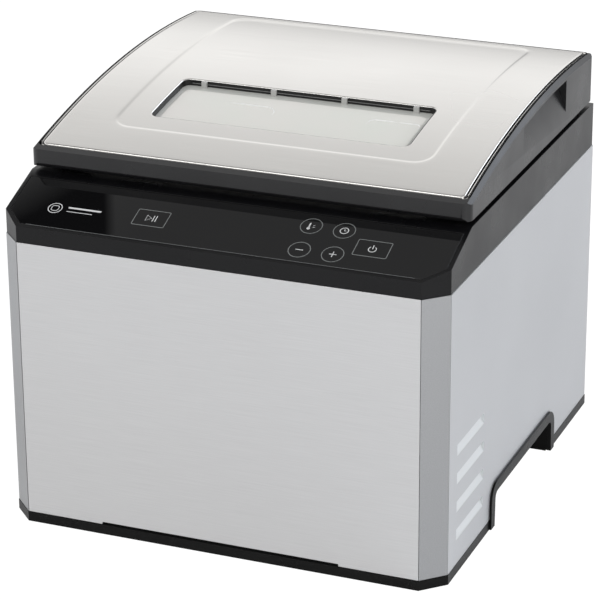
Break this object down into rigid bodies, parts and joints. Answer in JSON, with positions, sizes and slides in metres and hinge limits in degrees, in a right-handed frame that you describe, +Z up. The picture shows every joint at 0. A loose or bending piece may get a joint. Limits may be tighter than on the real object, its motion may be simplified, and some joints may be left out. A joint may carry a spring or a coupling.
{
  "type": "sous vide water oven",
  "caption": "Countertop sous vide water bath with steel sides, a sloping touch panel, a curved windowed lift-off lid, a pouch rack and a circulation pump.",
  "frame": {"origin": "on the worktop, under the middle of the cabinet", "axes": "+X to the cabinet's right, +Y to its rear, +Z up"},
  "size_m": [0.333, 0.343, 0.2932],
  "materials": {
    "skirt_plastic": "satin",
    "foot_rubber": "matt",
    "front_steel": "horizontally brushed",
    "corner_steel": "brushed",
    "side_paint": "smooth silver paint",
    "rear_paint": "smooth silver paint",
    "black_plastic": "satin",
    "control_glass": "gloss black, back printed",
    "circuit_board": "green solder mask",
    "display_plastic": "gloss",
    "component_plastic": "mixed",
    "tank_steel": "satin",
    "gasket_silicone": "matt",
    "felt": "felt",
    "heater_aluminium": "cast",
    "element_steel": "drawn",
    "probe_steel": "drawn",
    "cutout_phenolic": "matt",
    "inlet_plastic": "satin",
    "pin_brass": "bright",
    "screw_steel": "zinc",
    "pump_plastic": "satin",
    "seal_rubber": "matt",
    "motor_steel": "zinc plated",
    "copper_stack": "enamelled copper",
    "rack_wire": "electropolished",
    "cover_steel": "finely brushed",
    "window_glass": "clear",
    "liner_plastic": "satin",
    "clip_plastic": "satin"
  },
  "bodies": {
    "cabinet": {"base_tray": "skirt_plastic", "rubber_feet": "foot_rubber", "left_hand_recess": "skirt_plastic", "right_hand_recess": "skirt_plastic", "front_panel": "front_steel", "left_corner_trim": "corner_steel", "right_corner_trim": "corner_steel", "left_side_panel": "side_paint", "right_side_panel": "side_paint", "rear_panel": "rear_paint", "top_collar": "black_plastic", "control_glass": "control_glass", "touch_board": "circuit_board", "display_module": "display_plastic", "power_board": "circuit_board", "power_board_parts": "component_plastic", "tank": "tank_steel", "tank_gasket": "gasket_silicone", "tank_insulation": "felt", "heater_plate": "heater_aluminium", "heater_element": "element_steel", "temperature_probe": "probe_steel", "thermal_cutout": "cutout_phenolic", "inlet_socket": "inlet_plastic", "inlet_pins": "pin_brass", "rear_panel_screws": "screw_steel", "base_screws": "screw_steel", "pump_housing": "pump_plastic", "pump_seal": "seal_rubber", "pump_strainer": "probe_steel", "motor_case": "motor_steel", "motor_stator": "copper_stack", "rack_frame": "rack_wire"},
    "pump_rotor": {"pump_shaft": "probe_steel", "pump_impeller": "pump_plastic", "motor_rotor": "motor_steel"},
    "lid": {"lid_frame": "black_plastic", "lid_cover": "cover_steel", "window_seal": "seal_rubber", "window_clips": "clip_plastic", "lid_window": "window_glass", "lid_liner": "liner_plastic", "lid_inner_pane": "window_glass", "lid_seal": "gasket_silicone", "lid_screws": "screw_steel"},
    "divider_1": {"divider_1": "rack_wire"},
    "divider_2": {"divider_2": "rack_wire"},
    "divider_3": {"divider_3": "rack_wire"},
    "divider_4": {"divider_4": "rack_wire"}
  },
  "joints": [
    {"name": "lid_lift", "type": "slide", "parent": "cabinet", "child": "lid", "axis": [0, 0, 1], "range_m": [0, 0.15]},
    {"name": "pump_spin", "type": "hinge", "parent": "cabinet", "child": "pump_rotor", "pos_m": [0.06, -0.125, 0.1], "axis": [0, -1, 0], "continuous": true},
    {"name": "divider_1_slide", "type": "slide", "parent": "cabinet", "child": "divider_1", "axis": [1, 0, 0], "range_m": [-0.02, 0.02]},
    {"name": "divider_2_slide", "type": "slide", "parent": "cabinet", "child": "divider_2", "axis": [1, 0, 0], "range_m": [-0.02, 0.02]},
    {"name": "divider_3_slide", "type": "slide", "parent": "cabinet", "child": "divider_3", "axis": [1, 0, 0], "range_m": [-0.02, 0.02]},
    {"name": "divider_4_slide", "type": "slide", "parent": "cabinet", "child": "divider_4", "axis": [1, 0, 0], "range_m": [-0.02, 0.02]}
  ]
}
